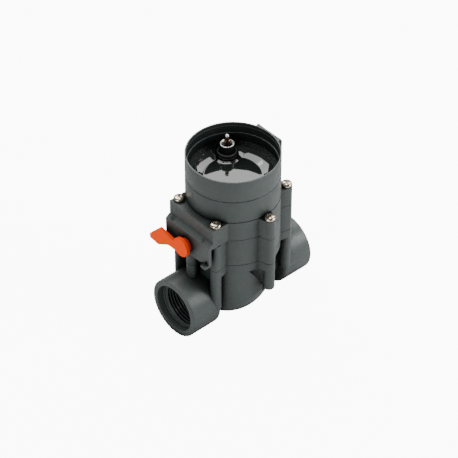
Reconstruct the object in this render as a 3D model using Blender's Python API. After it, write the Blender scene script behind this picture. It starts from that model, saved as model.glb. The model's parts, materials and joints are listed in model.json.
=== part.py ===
"""In-line diaphragm water valve with a round plug-in control socket.

X runs along the pipe from inlet (-X) to outlet (+X), Z is up, and the origin is on the ground
below the axis that the diaphragm, solenoid and control cup share. All sizes are in metres.
"""
import math

import bmesh
import bpy
from mathutils import Matrix, Vector

MM = 0.001
GAP = 0.3 * MM

# Driving dimensions: pipe sockets (female G 1 pipe thread)
PIPE_Z = 22 * MM
SOCKET_R = 22 * MM
HALF_LENGTH = 55 * MM
SOCKET_LENGTH = 25.5 * MM
COUNTERBORE_R = 17.5 * MM
COUNTERBORE_DEPTH = 5 * MM
THREAD_R = 16.6 * MM
THREAD_END = 21 * MM
FLOW_R = 10.5 * MM

# Stack of round pieces on the diaphragm axis, from the ground up
BARREL_R = 32.9 * MM
CHAMBER_R = 27 * MM
FLANGE_Z = 52 * MM
BODY_TOP = 58.85 * MM
RING_TOP = 81.25 * MM
BONNET_TOP = 97 * MM
HOUSING_TOP = 115.05 * MM
RESIN_TOP = 111.5 * MM
RIM_Z = 132.3 * MM
RING_BASE = BODY_TOP + GAP
BONNET_BASE = RING_TOP + GAP
HOUSING_BASE = BONNET_TOP + GAP
CUP_BASE = HOUSING_TOP + GAP

# Six clamp screws
BOLT_CIRCLE_R = 37.4 * MM
BOLT_ANGLES = [math.radians(30 + 60 * i) for i in range(6)]
COLUMN_R = 4.1 * MM
LUG_CREASE = 62
LUG_ROOT_HALF = 5.7 * MM
SCREW_R = 2 * MM
SCREW_HOLE_R = 2.4 * MM
SCREW_TIP_Z = 42 * MM
HEAD_R = 3.9 * MM
HEAD_HEIGHT = 2.7 * MM

# Belly of the body: a bowl set towards the inlet
BELLY_X = -5.5 * MM
BELLY_R = 33.6 * MM
BELLY_DEPTH = 42 * MM
BELLY_POWER = 2.05
WALL = 3 * MM

# Lever block and lever
BLOCK_FRONT_X = -38 * MM
BLOCK_HALF_Y = 22.3 * MM
FACE_X = -41.8 * MM
SPINDLE_Z = 74.55 * MM
SPINDLE_R = 3.5 * MM
SPINDLE_END_X = -34.7 * MM
HUB_R = 7.2 * MM
LEVER_FRONT_X = -48.3 * MM
LEVER_BACK_X = -45.3 * MM
CAM_R = 2.6 * MM
CAM_RISE = 0.6 * MM
BLEED_X = -37.4 * MM

# Pilot duct between the body and the lever block
DUCT_SPLIT_Z = 55 * MM
NIPPLE_R = 4.2 * MM
STUB_R = 4 * MM

# Contact post in the cup
POST_X = 11.5 * MM
POST_Y = 19.1 * MM
POST_BASE_R = 7.9 * MM
POST_R = 5.1 * MM
LEAD_Z = 105.4 * MM

# Solenoid
WELL_FLOOR = 86.5 * MM
POT_R = 12.8 * MM
TUBE_R = 4 * MM

FULL_TURN = 2 * math.pi
TINY = 1e-6


def clear_scene():
    for obj in list(bpy.data.objects):
        bpy.data.objects.remove(obj, do_unlink=True)


def new_collection(name):
    collection = bpy.data.collections.new(name)
    bpy.context.scene.collection.children.link(collection)
    return collection


clear_scene()
PARTS = new_collection("in_line_water_valve")
TOOLS = new_collection("cutters")


def material(name, colour, roughness, metallic=0.0):
    mat = bpy.data.materials.new(name)
    mat.use_nodes = True
    shader = mat.node_tree.nodes["Principled BSDF"]
    shader.inputs["Base Color"].default_value = (*colour, 1)
    shader.inputs["Roughness"].default_value = roughness
    shader.inputs["Metallic"].default_value = metallic
    return mat


BODY_PLASTIC = material("body_plastic", (0.07, 0.085, 0.085), 0.45)
BLACK_PLASTIC = material("black_plastic", (0.012, 0.012, 0.013), 0.35)
ORANGE_PLASTIC = material("orange_plastic", (0.85, 0.13, 0.02), 0.4)
RESIN = material("resin", (0.008, 0.008, 0.009), 0.05)
STEEL = material("steel", (0.62, 0.58, 0.52), 0.25, 1.0)
BRASS = material("brass", (0.7, 0.5, 0.22), 0.3, 1.0)
COPPER = material("copper", (0.72, 0.3, 0.15), 0.35, 1.0)
RUBBER = material("rubber", (0.015, 0.015, 0.015), 0.7)
WHITE_PLASTIC = material("white_plastic", (0.75, 0.74, 0.7), 0.45)


def link(obj, mat):
    """Put a piece with its material among the parts, or a tool (no material) among the tools."""
    if mat is None:
        TOOLS.objects.link(obj)
        obj.hide_render = True
        obj.display_type = "WIRE"
    else:
        PARTS.objects.link(obj)
        obj.data.materials.append(mat)
    return obj


def from_bmesh(name, bm, mat=None):
    """Object from a bmesh whose faces are first turned to look outwards."""
    bmesh.ops.recalc_face_normals(bm, faces=bm.faces)
    mesh = bpy.data.meshes.new(name)
    bm.to_mesh(mesh)
    bm.free()
    return link(bpy.data.objects.new(name, mesh), mat)


def turned(name, profile, mat=None, at=(0, 0, 0), ring=False, segments=32, along_x=False):
    """Turn a profile of (radius, height) points about an axis; ends on the axis get a cap."""
    bm = bmesh.new()
    angles = [FULL_TURN * i / segments for i in range(segments)]
    circles = [[bm.verts.new((radius * math.cos(a), radius * math.sin(a), height)) for a in angles]
               for radius, height in profile if radius > 0]
    following = circles[1:] + circles[:1] if ring else circles[1:]
    for circle, other in zip(circles, following):
        for i in range(segments):
            bm.faces.new((circle[i - 1], circle[i], other[i], other[i - 1]))
    if not ring:
        for circle, height in ((circles[0], profile[0][1]), (circles[-1], profile[-1][1])):
            cap = bm.faces.new(circle)
            if abs(circle[0].co.z - height) > TINY:
                tip = bmesh.ops.poke(bm, faces=[cap])["verts"][0]
                tip.co.z = height
    obj = from_bmesh(name, bm, mat)
    obj.location = at
    if along_x:
        obj.rotation_euler = (0, math.pi / 2, 0)
    return obj


def cylinder(name, radius, low, high, mat=None, at=(0, 0), segments=32):
    """Upright cylinder between two heights."""
    profile = [(0, high), (radius, high), (radius, low), (0, low)]
    return turned(name, profile, mat, (at[0], at[1], 0), segments=segments)


def cylinder_x(name, radius, low, high, mat=None, at=(0, PIPE_Z), segments=32):
    """Cylinder along X between two X values, on the axis at the given Y and Z."""
    profile = [(0, high), (radius, high), (radius, low), (0, low)]
    return turned(name, profile, mat, (0, at[0], at[1]), segments=segments, along_x=True)


def tube(name, outer, inner, low, high, mat=None, at=(0, 0), segments=32):
    profile = [(outer, high), (outer, low), (inner, low), (inner, high)]
    return turned(name, profile, mat, (at[0], at[1], 0), ring=True, segments=segments)


def o_ring(name, major, minor, at, along_x=False, segments=24, sides=6):
    steps = [-FULL_TURN * i / sides for i in range(sides)]
    profile = [(major + minor * math.cos(a), minor * math.sin(a)) for a in steps]
    return turned(name, profile, RUBBER, at, ring=True, segments=segments, along_x=along_x)


def box(name, low, high, mat=None, turn=0.0):
    """Box between two corners, turned about the Z axis through the origin."""
    bm = bmesh.new()
    bmesh.ops.create_cube(bm, size=1)
    size = Vector(high) - Vector(low)
    centre = (Vector(high) + Vector(low)) / 2
    place = Matrix.Rotation(turn, 4, "Z") @ Matrix.Translation(centre) @ Matrix.Diagonal((*size, 1))
    bmesh.ops.transform(bm, matrix=place, verts=bm.verts)
    return from_bmesh(name, bm, mat)


def extruded(name, outline, thickness, place, mat=None):
    """Flat outline extruded to both sides of its plane."""
    bm = bmesh.new()
    half = thickness / 2
    near = [bm.verts.new((u, v, -half)) for u, v in outline]
    far = [bm.verts.new((u, v, half)) for u, v in outline]
    bm.faces.new(near)
    bm.faces.new(far)
    for i in range(len(outline)):
        bm.faces.new((near[i - 1], near[i], far[i], far[i - 1]))
    obj = from_bmesh(name, bm, mat)
    obj.matrix_world = place
    return obj


# Outlines in the XZ plane are extruded along Y, those in the YZ plane along X.
UPRIGHT_XZ = Matrix.Rotation(math.pi / 2, 4, "X")
UPRIGHT_YZ = Matrix(((0, 0, 1, 0), (1, 0, 0, 0), (0, 1, 0, 0), (0, 0, 0, 1)))


def boolean(target, operation, tools):
    for tool in tools:
        modifier = target.modifiers.new(operation.lower() + "_" + tool.name, "BOOLEAN")
        modifier.operation = operation
        modifier.solver = "EXACT"
        modifier.object = tool
    return target


def join(target, *tools):
    return boolean(target, "UNION", tools)


def cut(target, *tools):
    return boolean(target, "DIFFERENCE", tools)


def keep(target, *tools):
    return boolean(target, "INTERSECT", tools)


def on_bolt_circle(angle):
    return (BOLT_CIRCLE_R * math.cos(angle), BOLT_CIRCLE_R * math.sin(angle))


def arc(centre, radius, start, stop, steps):
    """Points of an arc between two angles in degrees."""
    angles = [math.radians(start + (stop - start) * i / steps) for i in range(steps + 1)]
    return [(centre[0] + radius * math.cos(a), centre[1] + radius * math.sin(a)) for a in angles]


def barrel_outline(with_block=False):
    """Round barrel with six screw lugs; the lever block takes the place of the two at -X."""
    root = math.degrees(math.asin(LUG_ROOT_HALF / BARREL_R))
    corner = math.degrees(math.asin(BLOCK_HALF_Y / BARREL_R))
    outline = []
    for angle in BOLT_ANGLES:
        heading = math.degrees(angle)
        at_block = with_block and math.cos(angle) < -0.5
        if at_block and heading < 180:
            outline += arc((0, 0), BARREL_R, heading - 60 + root, 180 - corner, 3)
            outline += [(BLOCK_FRONT_X, BLOCK_HALF_Y), (BLOCK_FRONT_X, -BLOCK_HALF_Y)]
        elif at_block:
            outline += arc((0, 0), BARREL_R, 180 + corner, heading + 60 - root, 3)
        else:
            outline += lug_outline(heading)
            if not (with_block and abs(math.cos(angle)) < 0.1 and math.sin(angle) > 0):
                outline += arc((0, 0), BARREL_R, heading + root, heading + 60 - root, 4)
    return outline


def lug_outline(heading):
    """Screw column at the given angle in degrees; its flanks run straight to the barrel."""
    turn = math.radians(heading)
    nose = arc((BOLT_CIRCLE_R, 0), COLUMN_R, -LUG_CREASE, LUG_CREASE, 8)
    return [(x * math.cos(turn) - y * math.sin(turn), x * math.sin(turn) + y * math.cos(turn))
            for x, y in nose]


def prism(name, outline, low, high, mat=None):
    """Upright prism between two heights."""
    place = Matrix.Translation((0, 0, (low + high) / 2))
    return extruded(name, outline, high - low, place, mat)


def screw_holes(prefix, low, high):
    return [cylinder(f"{prefix}_hole_{i + 1}", SCREW_HOLE_R, low, high,
                     at=on_bolt_circle(angle), segments=8)
            for i, angle in enumerate(BOLT_ANGLES)]


# ---------------------------------------------------------------- valve body

def bowl(name, radius, depth, low_z, clip_r, top, segments):
    """Bowl of the belly, clipped by the upright barrel surface."""
    rings = 5
    centre_z = low_z + depth
    profile = [(0, top), (radius, top)]
    for i in range(rings):
        sink = math.sin(math.pi / 2 * i / rings)
        profile.append((radius * (1 - sink ** BELLY_POWER) ** (1 / BELLY_POWER),
                        centre_z - depth * sink))
    profile.append((0, low_z))
    obj = turned(name, profile, at=(BELLY_X, 0, 0), segments=segments)
    clip = cylinder(name + "_clip", clip_r, low_z - 5 * MM, top + 5 * MM)
    return keep(obj, clip)


def relief(name, offset):
    """Wedge that frees the outlet side of the belly under the clamp flange."""
    step_x = -1.5 * MM - offset
    step_z = 36.4 * MM
    floor_z = 28 * MM - offset
    slope = 1.4
    top = BODY_TOP + 2 * MM
    outline = [(step_x - (top - step_z) / slope, top), (step_x, step_z), (step_x, floor_z),
               (45 * MM, floor_z), (45 * MM, top)]
    return extruded(name, outline, 90 * MM, UPRIGHT_XZ)


def socket(name, side):
    """Pipe socket with a rounded inner end and a neck, bored from its face to the neck's end."""
    inner = HALF_LENGTH - SOCKET_LENGTH
    thread_end = HALF_LENGTH - THREAD_END
    step = HALF_LENGTH - COUNTERBORE_DEPTH
    neck_r = FLOW_R + WALL
    neck_end = 21 * MM
    fillet = 3 * MM
    edge = 0.6 * MM
    profile = [(SOCKET_R - edge, HALF_LENGTH), (SOCKET_R, HALF_LENGTH - edge)]
    profile += [(SOCKET_R - fillet + fillet * math.cos(a), inner + fillet - fillet * math.sin(a))
                for a in (0, math.pi / 6, math.pi / 3, math.pi / 2)]
    profile += [(neck_r, inner), (neck_r, neck_end), (FLOW_R, neck_end), (FLOW_R, thread_end),
                (THREAD_R, thread_end), (THREAD_R, step - edge), (THREAD_R + edge / 2, step),
                (COUNTERBORE_R, step), (COUNTERBORE_R, HALF_LENGTH)]
    obj = turned(name, profile, at=(0, 0, PIPE_Z), ring=True, along_x=True)
    if side < 0:
        obj.rotation_euler = (0, -math.pi / 2, 0)
    return obj


def make_valve_body():
    seat_r = FLOW_R + WALL
    duct_r = FLOW_R - GAP
    past = 2 * MM
    body = prism("valve_body", barrel_outline(), FLANGE_Z, BODY_TOP, BODY_PLASTIC)
    belly = bowl("belly", BELLY_R, BELLY_DEPTH, 0, BARREL_R - 0.2 * MM, FLANGE_Z + 1 * MM, 32)
    cut(belly, relief("belly_relief", 0))
    join(body, belly)
    join(body, cylinder("seat_tube", seat_r, 4 * MM, FLANGE_Z + past, segments=28))
    for i, angle in enumerate(BOLT_ANGLES):
        low = 34.6 * MM if abs(math.cos(angle)) < 0.1 else PIPE_Z + 0.5 * MM
        join(body, cylinder(f"column_{i + 1}", COLUMN_R - 0.2 * MM, low, FLANGE_Z + 1 * MM,
                            at=on_bolt_circle(angle), segments=16))
    for i in (2, 3):
        join(body, box(f"column_web_{i}", (26 * MM, -2.6 * MM, 24 * MM),
                       (BOLT_CIRCLE_R, 2.6 * MM, FLANGE_Z + past), turn=BOLT_ANGLES[i]))

    hollow = bowl("belly_hollow", BELLY_R - WALL, BELLY_DEPTH - WALL, WALL, BARREL_R - 3.4 * MM,
                  FLANGE_Z + WALL + 1 * MM, 20)
    cut(hollow, relief("hollow_relief", WALL))
    join(hollow, cylinder("chamber_hollow", CHAMBER_R, FLANGE_Z + WALL, BODY_TOP + past))
    cut(hollow, cylinder("seat_wall", seat_r - 0.1 * MM, -past, BODY_TOP + 2 * past, segments=28))
    cut(hollow, cylinder_x("duct_wall", seat_r - 2 * GAP, 0, 40 * MM, segments=28))
    cut(body, hollow)
    join(body, socket("inlet_socket", -1), socket("outlet_socket", 1))
    cut(body, cylinder_x("inlet_way", duct_r, -33.5 * MM, -19 * MM, segments=24))
    cut(body, cylinder_x("outlet_way", duct_r, 0, 33.5 * MM, segments=24))
    cut(body, cylinder("seat_bore", FLOW_R, PIPE_Z - FLOW_R - 0.4 * MM, BODY_TOP + past,
                       segments=28))
    cut(body, *screw_holes("body", SCREW_TIP_Z - past, BODY_TOP + past))
    join(body, pilot_stub())
    cut(body, cylinder("pilot_way", 1 * MM, 30 * MM, 48 * MM, at=(BLEED_X, 0), segments=10))
    return body


def pilot_stub():
    """Duct on top of the inlet socket, with a pocket for its seal at the split."""
    foot, bore_r, pocket_r = 40.5 * MM, 1.2 * MM, 2.7 * MM
    pocket_floor = DUCT_SPLIT_Z - 1.4 * MM
    profile = [(STUB_R, DUCT_SPLIT_Z), (STUB_R, foot), (bore_r, foot), (bore_r, pocket_floor),
               (pocket_r, pocket_floor), (pocket_r, DUCT_SPLIT_Z)]
    return turned("pilot_stub", profile, at=(BLEED_X, 0, 0), ring=True, segments=20)


# ---------------------------------------------------------------- clamp stack

def make_chamber_ring():
    ring = prism("chamber_ring", barrel_outline(), RING_BASE, RING_TOP, BODY_PLASTIC)
    past = 2 * MM
    bore = [(0, RING_TOP + past), (CHAMBER_R, RING_TOP + past), (CHAMBER_R, 61.6 * MM),
            (30.8 * MM, 61.6 * MM), (30.8 * MM, RING_BASE - past), (0, RING_BASE - past)]
    cut(ring, turned("ring_bore", bore))
    cut(ring, *screw_holes("ring", RING_BASE - past, RING_TOP + past))
    return ring


def lever_face():
    """Front wall of the lever block: sloped shoulder, upright face and its lower edge."""
    wall_back = FACE_X + 2.4 * MM
    root_x = -36 * MM
    shoulder = 83.8 * MM
    outline = [(FACE_X, shoulder), (FACE_X, 60 * MM), (wall_back, 60 * MM),
               (wall_back, 81.7 * MM), (root_x, 81.7 * MM),
               (root_x, shoulder + 0.68 * (root_x - FACE_X))]
    half = BLOCK_HALF_Y - 0.2 * MM
    wall = extruded("lever_face", outline, 2 * half, UPRIGHT_XZ)
    low = 66.3 * MM
    leg_in = 20.8 * MM
    notch = 72.6 * MM
    under = [(-half - MM, 50 * MM), (half + MM, 50 * MM), (half + MM, 68.4 * MM),
             (leg_in, 68.4 * MM), (leg_in, notch), (16.4 * MM, 68.7 * MM), (13 * MM, 66.9 * MM),
             (7 * MM, low), (-7 * MM, low), (-13 * MM, 66.9 * MM), (-16.4 * MM, 68.7 * MM),
             (-leg_in, notch), (-leg_in, 68.4 * MM), (-half - MM, 68.4 * MM)]
    trim = extruded("face_trim", under, 30 * MM,
                    Matrix.Translation((FACE_X, 0, 0)) @ UPRIGHT_YZ)
    cut(wall, trim)
    hook = box("lever_stop", (-45.3 * MM, 0.1 * MM - half, 67 * MM),
               (wall_back - 0.1 * MM, -17.8 * MM, 68.9 * MM))
    return join(wall, hook)


def make_bonnet():
    past = 2 * MM
    bonnet = prism("bonnet", barrel_outline(with_block=True), BONNET_BASE, BONNET_TOP,
                   BODY_PLASTIC)
    hollow = cylinder("bonnet_hollow", CHAMBER_R, BONNET_BASE - past, 89 * MM)
    cut(hollow, cylinder("well_boss", 16 * MM, 83.5 * MM, 92 * MM))
    cut(bonnet, hollow)
    join(bonnet, lever_face())
    join(bonnet, cylinder_x("spindle_housing", 9 * MM, FACE_X + 0.5 * MM, -33.4 * MM,
                            at=(0, SPINDLE_Z), segments=32))
    well = [(0, BONNET_TOP + past), (18 * MM, BONNET_TOP + past), (18 * MM, 95.2 * MM),
            (15 * MM, 95.2 * MM), (15 * MM, BONNET_TOP + 1 * MM),
            (POT_R + GAP, BONNET_TOP + 1 * MM), (POT_R + GAP, WELL_FLOOR),
            (2.6 * MM, WELL_FLOOR), (2.6 * MM, 80 * MM), (0, 80 * MM)]
    cut(bonnet, turned("well", well))
    seal_end = -FACE_X - 1.8 * MM
    bore_end = -SPINDLE_END_X - GAP
    bore = [(0, -FACE_X + past), (5.8 * MM, -FACE_X + past), (5.8 * MM, seal_end),
            (SPINDLE_R + GAP, seal_end), (SPINDLE_R + GAP, bore_end), (0, bore_end)]
    spindle_bore = turned("spindle_bore", bore, at=(0, 0, SPINDLE_Z), segments=24, along_x=True)
    spindle_bore.rotation_euler = (0, -math.pi / 2, 0)
    cut(bonnet, spindle_bore)
    nipple = tube("pilot_nipple", NIPPLE_R, 1.6 * MM, DUCT_SPLIT_Z + GAP, SPINDLE_Z - 7 * MM,
                  at=(BLEED_X, 0), segments=20)
    cut(nipple, cylinder("barrel_clearance", BARREL_R + GAP, 50 * MM, 66 * MM, segments=64))
    join(bonnet, nipple)
    cut(bonnet, cylinder("bleed_way", 1.4 * MM, 60 * MM, SPINDLE_Z + 1.1 * MM, at=(BLEED_X, 0),
                         segments=10))
    cut(bonnet, *screw_holes("bonnet", BONNET_BASE - past, BONNET_TOP + past))
    return bonnet


def make_solenoid_housing():
    inner = 30.5 * MM
    floor = 99.5 * MM
    pot_base = WELL_FLOOR + GAP
    profile = [(BARREL_R, HOUSING_TOP), (BARREL_R, HOUSING_BASE), (POT_R, HOUSING_BASE),
               (POT_R, pot_base), (TUBE_R + GAP, pot_base), (TUBE_R + GAP, pot_base + 1.5 * MM),
               (11.2 * MM, pot_base + 1.5 * MM), (11.2 * MM, floor), (inner, floor),
               (inner, HOUSING_TOP)]
    return turned("solenoid_housing", profile, BODY_PLASTIC, ring=True)


def make_control_cup():
    lip = 31.6 * MM
    wall = 31.1 * MM
    spigot = 30.2 * MM
    groove_out, groove_in, groove_top = 32.1 * MM, 31 * MM, CUP_BASE + 0.75 * MM
    profile = [(BARREL_R, RIM_Z), (BARREL_R, CUP_BASE), (groove_out, CUP_BASE),
               (groove_out, groove_top), (groove_in, groove_top), (groove_in, CUP_BASE),
               (spigot, CUP_BASE), (spigot, 112 * MM), (27.6 * MM, 112 * MM)]
    steps = [(27.6, 115.6), (28.7, 115.6), (28.7, 116.4), (29.9, 116.4), (29.9, 117.2)]
    profile += [(radius * MM, height * MM) for radius, height in steps]
    profile += [(wall, 117.2 * MM), (wall, 124 * MM), (lip, 124 * MM), (lip, RIM_Z)]
    cup = turned("control_cup", profile, BODY_PLASTIC, ring=True)
    rail_half = 11 * MM
    rail = box("rail_pad", (31.8 * MM, -rail_half, CUP_BASE + 1 * MM),
               (33.4 * MM, rail_half, RIM_Z))
    join(cup, rail)
    for i, side in enumerate((-1, 1)):
        rib = box(f"rail_rib_{i + 1}", (32 * MM, -1 * MM, CUP_BASE + 1 * MM),
                  (35.9 * MM, 1 * MM, RIM_Z), turn=side * math.radians(18))
        join(cup, rib)
    cut(cup, cylinder("post_notch", POST_BASE_R + GAP, 105 * MM, 117.8 * MM,
                      at=(POST_X, POST_Y), segments=32))
    return cup


def make_resin():
    radius, low = 30.2 * MM, 99.8 * MM
    pocket_r, pocket_top = 11.6 * MM, 109.6 * MM
    profile = [(0, RESIN_TOP), (radius, RESIN_TOP), (radius, low), (pocket_r, low),
               (pocket_r, pocket_top), (0, pocket_top)]
    resin = turned("potting_resin", profile, RESIN)
    cut(resin, cylinder("post_pocket", POST_BASE_R + GAP, 107 * MM, RESIN_TOP + 2 * MM,
                        at=(POST_X, POST_Y), segments=32))
    slot_half = 2.2 * MM
    lead_slot = box("lead_slot", (10 * MM, -slot_half, LEAD_Z - 1.4 * MM),
                    (20 * MM, slot_half, LEAD_Z + 2.6 * MM),
                    turn=math.atan2(POST_Y, POST_X))
    return cut(resin, lead_slot)


# ---------------------------------------------------------------- plug-in contact

def make_contact():
    at = (POST_X, POST_Y, 0)
    base_top = 114.2 * MM
    post_top = 121.3 * MM
    profile = [(POST_R, post_top), (POST_R, base_top), (POST_BASE_R - 0.5 * MM, base_top),
               (POST_BASE_R, base_top - 0.5 * MM), (POST_BASE_R, 108.5 * MM),
               (1.4 * MM, 108.5 * MM), (1.4 * MM, 112.5 * MM), (4.7 * MM, 112.5 * MM),
               (4.7 * MM, post_top)]
    turned("contact_post", profile, BLACK_PLASTIC, at, ring=True, segments=20)
    o_ring("contact_post_seal", 6.4 * MM, 0.95 * MM, (POST_X, POST_Y, base_top + 1.25 * MM))
    flange = post_top + GAP
    lip = flange + 0.8 * MM
    sleeve_base = 113 * MM
    sleeve_out, sleeve_in = 4.4 * MM, 3.9 * MM
    sleeve = [(POST_R, lip), (POST_R, flange), (sleeve_out, flange), (sleeve_out, sleeve_base),
              (sleeve_in, sleeve_base), (sleeve_in, lip - MM), (sleeve_out, lip)]
    turned("contact_sleeve", sleeve, STEEL, at, ring=True, segments=20)
    tube("contact_insulator", sleeve_in - GAP, 1.3 * MM, sleeve_base, 119.5 * MM, BLACK_PLASTIC,
         at=(POST_X, POST_Y), segments=20)
    turned("contact_pin", contact_pin_profile(), STEEL, at, segments=14)


def contact_pin_profile():
    """Ball on a short barrel with a thin collar, above a thinner stem."""
    ball_z, ball_r, barrel_r, collar_r, stem_r = 128.4 * MM, 1.45 * MM, 1.3 * MM, 1.8 * MM, 1 * MM
    collar_z, stem_end = 125 * MM, 107.5 * MM
    steps = 5
    sweep = math.pi - math.asin(barrel_r / ball_r)
    angles = [sweep * i / steps for i in range(steps + 1)]
    ball = [(ball_r * math.sin(a), ball_z + ball_r * math.cos(a)) for a in angles]
    return ball + [(barrel_r, collar_z + 0.5 * MM), (collar_r, collar_z + 0.5 * MM),
                   (collar_r, collar_z), (stem_r, collar_z), (stem_r, stem_end), (0, stem_end)]


def make_lead_wires():
    """Two short conductors from the coil to the contact, side by side."""
    heading = math.atan2(POST_Y, POST_X)
    start, stop, spread = 12 * MM, 19.5 * MM, 1.3 * MM
    for name, offset in (("lead_wire_inner", -spread), ("lead_wire_outer", spread)):
        wire = cylinder_x(name, 0.45 * MM, start, stop, COPPER, segments=10)
        wire.location = Matrix.Rotation(heading, 3, "Z") @ Vector((0, offset, LEAD_Z))
        wire.rotation_euler = (0, math.pi / 2, heading)


# ---------------------------------------------------------------- solenoid

def make_solenoid():
    flange_z = WELL_FLOOR + 2.1 * MM
    inner = TUBE_R - 0.7 * MM
    profile = [(0, 105 * MM), (TUBE_R, 105 * MM), (TUBE_R, flange_z + 0.9 * MM),
               (6.2 * MM, flange_z + 0.9 * MM), (6.2 * MM, flange_z), (TUBE_R, flange_z),
               (TUBE_R, 86.9 * MM), (inner, 86.9 * MM), (inner, 104 * MM), (0, 104 * MM)]
    turned("core_tube", profile, BRASS, segments=20)
    o_ring("core_tube_seal", 5.1 * MM, 0.7 * MM, (0, 0, flange_z + 1.95 * MM), segments=20)
    core_r = 3 * MM
    cylinder("fixed_core", core_r, 97.5 * MM, 103.7 * MM, STEEL, segments=20)
    turned("plunger", plunger_profile(core_r), STEEL, segments=20)
    cylinder("plunger_seal", 2 * MM, 86.6 * MM, 87.6 * MM, RUBBER, segments=16)
    tube("pilot_nozzle", 2.3 * MM, 0.6 * MM, 83 * MM, 86.3 * MM, BRASS, segments=16)
    spring("plunger_spring", 1.4 * MM, 0.2 * MM, 90.6 * MM, 97.1 * MM, 4, STEEL)
    bobbin = [(10.8 * MM, 107.5 * MM), (10.8 * MM, 106.5 * MM), (5.4 * MM, 106.5 * MM),
              (5.4 * MM, 92.3 * MM), (10.8 * MM, 92.3 * MM), (10.8 * MM, 91.6 * MM),
              (4.4 * MM, 91.6 * MM), (4.4 * MM, 107.5 * MM)]
    turned("coil_bobbin", bobbin, WHITE_PLASTIC, ring=True, segments=20)
    tube("coil_winding", 10.3 * MM, 5.7 * MM, 92.6 * MM, 106.2 * MM, COPPER, segments=28)
    cylinder("latching_magnet", 4 * MM, 105.3 * MM, 107.5 * MM, STEEL, segments=20)
    cylinder("yoke_plate", 10.8 * MM, 107.8 * MM, 109.3 * MM, STEEL, segments=28)


def plunger_profile(core_r):
    """Plunger with a blind spring pocket in its top."""
    pocket_r, pocket_z = 2 * MM, 90.2 * MM
    top, low = 95.2 * MM, 87.9 * MM
    return [(0, pocket_z), (pocket_r, pocket_z), (pocket_r, top), (core_r, top), (core_r, low),
            (0, low)]


def spring(name, radius, wire_r, low, high, turns, mat):
    """Compression spring with a round wire; its ends stay inside low and high."""
    per_turn = 9
    steps = turns * per_turn
    base, rise = low + wire_r, high - low - 2 * wire_r
    curve = bpy.data.curves.new(name, "CURVE")
    curve.dimensions = "3D"
    curve.bevel_depth = wire_r
    curve.bevel_resolution = 1
    curve.use_fill_caps = True
    spline = curve.splines.new("POLY")
    spline.points.add(steps)
    for i, point in enumerate(spline.points):
        angle = FULL_TURN * i / per_turn
        point.co = (radius * math.cos(angle), radius * math.sin(angle), base + rise * i / steps, 1)
    return link(bpy.data.objects.new(name, curve), mat)


# ---------------------------------------------------------------- diaphragm

def make_diaphragm():
    low = RING_BASE
    top = 61.3 * MM
    hole = 3.3 * MM
    lower = [(30.5, 59.15), (26.5, 59.15), (24.8, 61.6), (22.5, 62.3), (20.2, 61.6), (18.5, 59.15)]
    upper = [(17.6, 61.3), (19.4, 63.4), (22.5, 64.3), (25, 63.4), (26.2, 61.3)]
    profile = [(30.5 * MM, top)]
    profile += [(radius * MM, height * MM) for radius, height in lower]
    profile += [(hole, low), (hole, top)]
    profile += [(radius * MM, height * MM) for radius, height in upper]
    turned("diaphragm", profile, RUBBER, ring=True, segments=24)
    plate = [(16.5, 63.6), (16.5, 61.6), (3.3, 61.6), (3.3, 65), (9.3, 65), (9.3, 63.6)]
    turned("diaphragm_plate", [(radius * MM, height * MM) for radius, height in plate],
           WHITE_PLASTIC, ring=True, segments=20)
    stem = [(0, 69), (3, 69), (3, 58.8), (9.9, 58.8), (9.9, 56.8), (3, 56.8), (3, 49), (0, 49)]
    guide = turned("seat_guide", [(radius * MM, height * MM) for radius, height in stem],
                   WHITE_PLASTIC, segments=24)
    fin_reach, fin_half = 9.6 * MM, 0.8 * MM
    join(guide, box("guide_fin_1", (-fin_reach, -fin_half, 47.5 * MM),
                    (fin_reach, fin_half, 57.5 * MM)))
    join(guide, box("guide_fin_2", (-fin_half, -fin_reach, 48 * MM),
                    (fin_half, fin_reach, 57.2 * MM)))
    nut = cylinder("stem_nut", 5.2 * MM, 65.3 * MM, 68.3 * MM, BRASS, segments=6)
    cut(nut, cylinder("nut_bore", 3.3 * MM, 64 * MM, 70 * MM, segments=24))
    spring("diaphragm_spring", 10.5 * MM, 0.7 * MM, 63.9 * MM, 83.2 * MM, 5, STEEL)


# ---------------------------------------------------------------- lever and bleed

def lever_outline():
    """Round hub and a drooping paddle with a blunt tip, at rest: (Y, Z) from the spindle."""
    neck_top, neck_low = 1.4 * MM, -5.9 * MM
    hub = arc((0, 0), HUB_R, math.degrees(math.asin(neck_top / HUB_R)),
              360 + math.degrees(math.asin(neck_low / HUB_R)), 18)
    lower = [(12.4 * MM, neck_low), (23.2 * MM, -12.4 * MM), (32.2 * MM, -11.5 * MM)]
    upper = [(32.4 * MM, -7.8 * MM), (23.1 * MM, 2.5 * MM), (10.2 * MM, neck_top)]
    return hub + lower + upper


def make_lever():
    axis = (0, SPINDLE_Z)
    bore_end = LEVER_FRONT_X + 1.5 * MM
    place = Matrix.Translation(((LEVER_FRONT_X + LEVER_BACK_X) / 2, 0, SPINDLE_Z)) @ UPRIGHT_YZ
    lever = extruded("manual_lever", lever_outline(), LEVER_BACK_X - LEVER_FRONT_X, place,
                     ORANGE_PLASTIC)
    join(lever, cylinder_x("lever_collar", 5.8 * MM, LEVER_FRONT_X + 1 * MM, FACE_X - 0.4 * MM,
                           at=axis, segments=18))
    cut(lever, cylinder_x("lever_bore", SPINDLE_R + GAP, bore_end, FACE_X, at=axis, segments=18))
    make_spindle(bore_end + GAP)
    o_ring("spindle_seal", 4.8 * MM, 0.7 * MM, (FACE_X + 0.9 * MM, 0, SPINDLE_Z), along_x=True,
           segments=20)


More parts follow.
